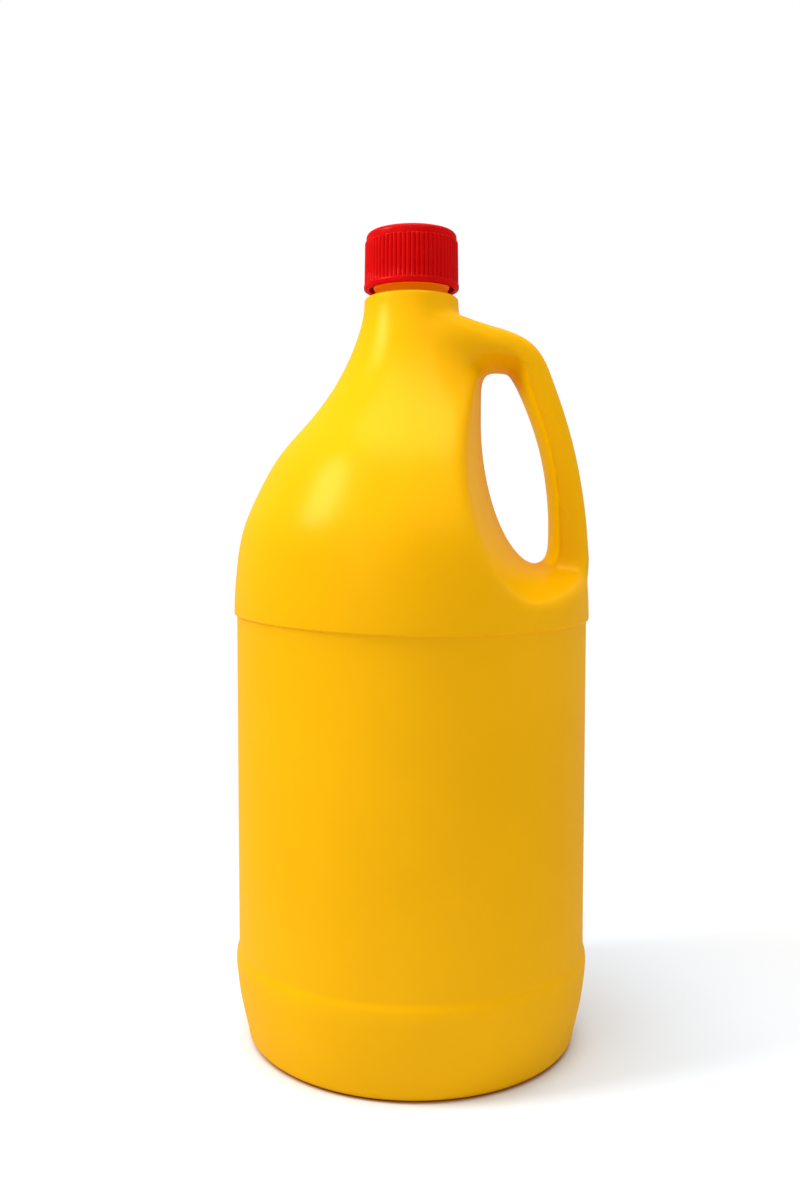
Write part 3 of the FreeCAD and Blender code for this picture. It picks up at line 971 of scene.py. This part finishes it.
def yellow_polyethylene():
    """Blow-moulded and a little uneven, with a mould line in the plane y = 0. The groove under the cap has
    painted red light from the cap mixed into its colour, and it and the handle's inner side have a painted
    glow, which stands in for light that comes through there. The trace of metal warms the gloss."""
    m = Material("yellow_polyethylene")
    x, y, z = m.split(m.place)
    cloud = m.noise(14, 3)
    colour = m.mix(cloud.between(0.3, 0.7), (0.822, 0.403, 0.0004, 1), (0.862, 0.424, 0.0006, 1))

    # Painted red light from the cap: the neck's groove under it is mixed towards orange and given a painted
    # red glow
    painted_cap_light = z.between_mm(COLLAR_HEIGHT - 0.3, COLLAR_HEIGHT + 0.3)
    painted_cap_light *= 1 - z.between_mm(NECK_GROOVE_TOP + 0.3, NECK_GROOVE_TOP + 2.1)
    painted_cap_light *= 1 - m.from_axis().between_mm(NECK_GROOVE + 0.3, NECK_ROOT + 0.6)
    colour = m.mix(0.55 * painted_cap_light, colour, (0.90, 0.16, 0.0, 1))

    # Painted glow on the handle's inner side, facing the pocket, standing in for light through the thin
    # wall
    facing, _, _ = m.split(m.node("ShaderNodeNewGeometry", "Normal"))
    painted_grip_glow = x.between_mm(*PAINTED_GLOW_FROM_X) * z.between_mm(*PAINTED_GLOW_FROM_Z)
    painted_grip_glow *= 1 - facing.between(-0.95, -0.35)
    painted_glow = m.mix(painted_grip_glow, (0, 0, 0, 1), (0.17, 0.18, 0, 1))
    painted_glow = m.mix(painted_cap_light, painted_glow, (0.17, 0.008, 0, 1))

    mould_line = 1 - y.math("ABSOLUTE").between_mm(0.08, 0.35)
    grain = m.noise(1800, 2)
    normal = m.bump(m.noise(55, 1), 0.4)
    normal = m.bump(mould_line, 0.08, under=normal)
    normal = m.bump(grain, 0.01, 0.5, under=normal)
    rough = 0.28 + 0.08 * cloud + 0.04 * grain
    return m.finish(Base_Color=colour, Metallic=0.036, Roughness=rough, IOR=1.5, Normal=normal,
                    Specular_IOR_Level=0, Coat_Weight=0.11, Coat_Roughness=0.28,
                    Emission_Color=painted_glow, Emission_Strength=1)


def red_polypropylene():
    """Injection-moulded, with a fine satin grain."""
    m = Material("red_polypropylene")
    cloud = m.noise(60, 2)
    colour = m.mix(cloud.between(0.3, 0.7), (0.53, 0.001, 0.001, 1), (0.585, 0.0015, 0.0015, 1))
    normal = m.bump(m.noise(2500, 2), 0.02, 0.6)
    return m.finish(Base_Color=colour, Roughness=0.3 + 0.1 * cloud, IOR=1.49, Normal=normal,
                    Specular_IOR_Level=0, Coat_Weight=0.09, Coat_Roughness=0.26)


def white_foam():
    """Closed cells, seen as fine pits."""
    m = Material("white_foam")
    cells = m.node("ShaderNodeTexVoronoi", 0, {"Vector": m.place, "Scale": 2600})
    colour = m.mix(m.noise(120, 2), (0.80, 0.80, 0.77, 1), (0.88, 0.88, 0.86, 1))
    normal = m.bump(cells, 0.1, 0.6)
    return m.finish(Base_Color=colour, Roughness=0.8, Normal=normal)


# ------------------------------------------------------------------ pieces

polyethylene, polypropylene, foam = yellow_polyethylene(), red_polypropylene(), white_foam()

bottle = make_bottle()
cap = cap_sector()
copy_round(cap, RIB_COUNT, polypropylene)
cap_thread = make_cap_thread()
liner = make_liner()

for piece, node, body, slot, material in (
    (bottle, "bottle", "bottle", "yellow_polyethylene", polyethylene),
    (cap, "cap", "cap", "red_polypropylene", polypropylene),
    (cap_thread, "cap", "cap", "red_polypropylene", polypropylene),
    (liner, "liner", "liner", "white_foam", foam),
):
    finish_mesh(piece)
    piece.data.materials.clear()
    piece.data.materials.append(material)
    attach(piece, body)
    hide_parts(node)


# ------------------------------------------------------------------ studio
# Lamps and camera stand in metres.

def area_light(name, size, power, place, target=(0, 0, 0.17)):
    """A soft lamp of that width and height, turned to its target, the jug's middle unless given."""
    data = bpy.data.lights.new(name, "AREA")
    data.shape = "RECTANGLE"
    data.size, data.size_y = size
    data.energy = power
    lamp = bpy.data.objects.new(name, data)
    lamp.location = place
    lamp.rotation_euler = (Vector(target) - Vector(place)).to_track_quat("-Z", "Y").to_euler()
    bpy.context.collection.objects.link(lamp)


def pale_floor():
    """White board that takes shadows near the jug and runs out into plain white away from it. It is painted
    a little cool close by, against the jug's warm bounce light, and has a painted dark, warm ring of
    contact shadow and reflection of the jug right under its edge."""
    m = Material("pale_floor")
    from_jug = m.from_axis()
    # Painted cool tint near the jug, which offsets the warm light that the jug bounces onto the floor
    colour = m.mix(from_jug.between_mm(80, 260), (0.85, 0.925, 1, 1), (0.93, 0.94, 0.95, 1))
    # Painted contact shadow and warm reflection of the jug: a dark orange ring right under its edge
    colour = m.mix(from_jug.between_mm(67.5, 71.5), (0.55, 0.25, 0.01, 1), colour)
    board = m.node("ShaderNodeBsdfDiffuse", inputs={"Color": colour})
    white = m.node("ShaderNodeEmission", inputs={"Color": (1, 1, 1, 1), "Strength": 1})
    return m.output(m.node("ShaderNodeMixShader", inputs={
        0: from_jug.between_mm(140, 400), 1: board, 2: white}))


def make_floor(reach):
    """A square sheet on z = 0, from -reach to reach both ways, in millimetres."""
    sheet = Builder()
    corners = sheet.add([(-reach, -reach, 0), (reach, -reach, 0), (reach, reach, 0), (-reach, reach, 0)])
    sheet.quads([corners])
    floor = sheet.object("studio_floor")
    floor.data.materials.append(pale_floor())


def make_world(fill):
    """White wherever the camera, a glossy ray or a ray through glass sees it, and a soft fill elsewhere."""
    world = bpy.data.worlds.new("studio")
    world.use_nodes = True
    tree = world.node_tree
    tree.nodes.clear()
    path = add_node(tree, "ShaderNodeLightPath").outputs
    seen = Shade(tree, path["Is Camera Ray"])
    for name in ("Is Glossy Ray", "Is Transmission Ray"):
        seen = seen.math("MAXIMUM", Shade(tree, path[name]))
    light = add_node(tree, "ShaderNodeBackground", {
        "Color": (1, 1, 1, 1), "Strength": seen * (1 - fill) + fill})
    add_node(tree, "ShaderNodeOutputWorld", {"Surface": light.outputs[0]})
    bpy.context.scene.world = world


def make_camera(place, down_deg, lens, shift_x):
    """A camera that looks along +Y and a little down."""
    data = bpy.data.cameras.new("camera")
    data.sensor_width, data.lens, data.shift_x = 36, lens, shift_x
    camera = bpy.data.objects.new("camera", data)
    camera.location = place
    camera.rotation_euler = (math.radians(90 - down_deg), 0, 0)
    bpy.context.collection.objects.link(camera)
    return camera


make_world(fill=0.34)
make_floor(reach=4000)
area_light("key", (0.34, 0.44), 8, (-0.786, -0.211, 0.90), target=(0, 0, 0.22))
area_light("front_left", (0.6, 0.8), 1.2, (-0.57, -0.82, 0.65))
area_light("front", (0.8, 0.6), 1.1, (0.2, -0.8, 1.0))
area_light("right", (0.8, 1.0), 0.9, (0.97, -0.26, 0.40))
area_light("top", (1.0, 1.0), 12.5, (0, 0, 1.3))

bpy.context.scene.view_settings.view_transform = "Standard"
bpy.context.scene.camera = make_camera(
    (-0.0140, -0.4906, 0.2175), down_deg=3.3, lens=33.9, shift_x=0.01775)
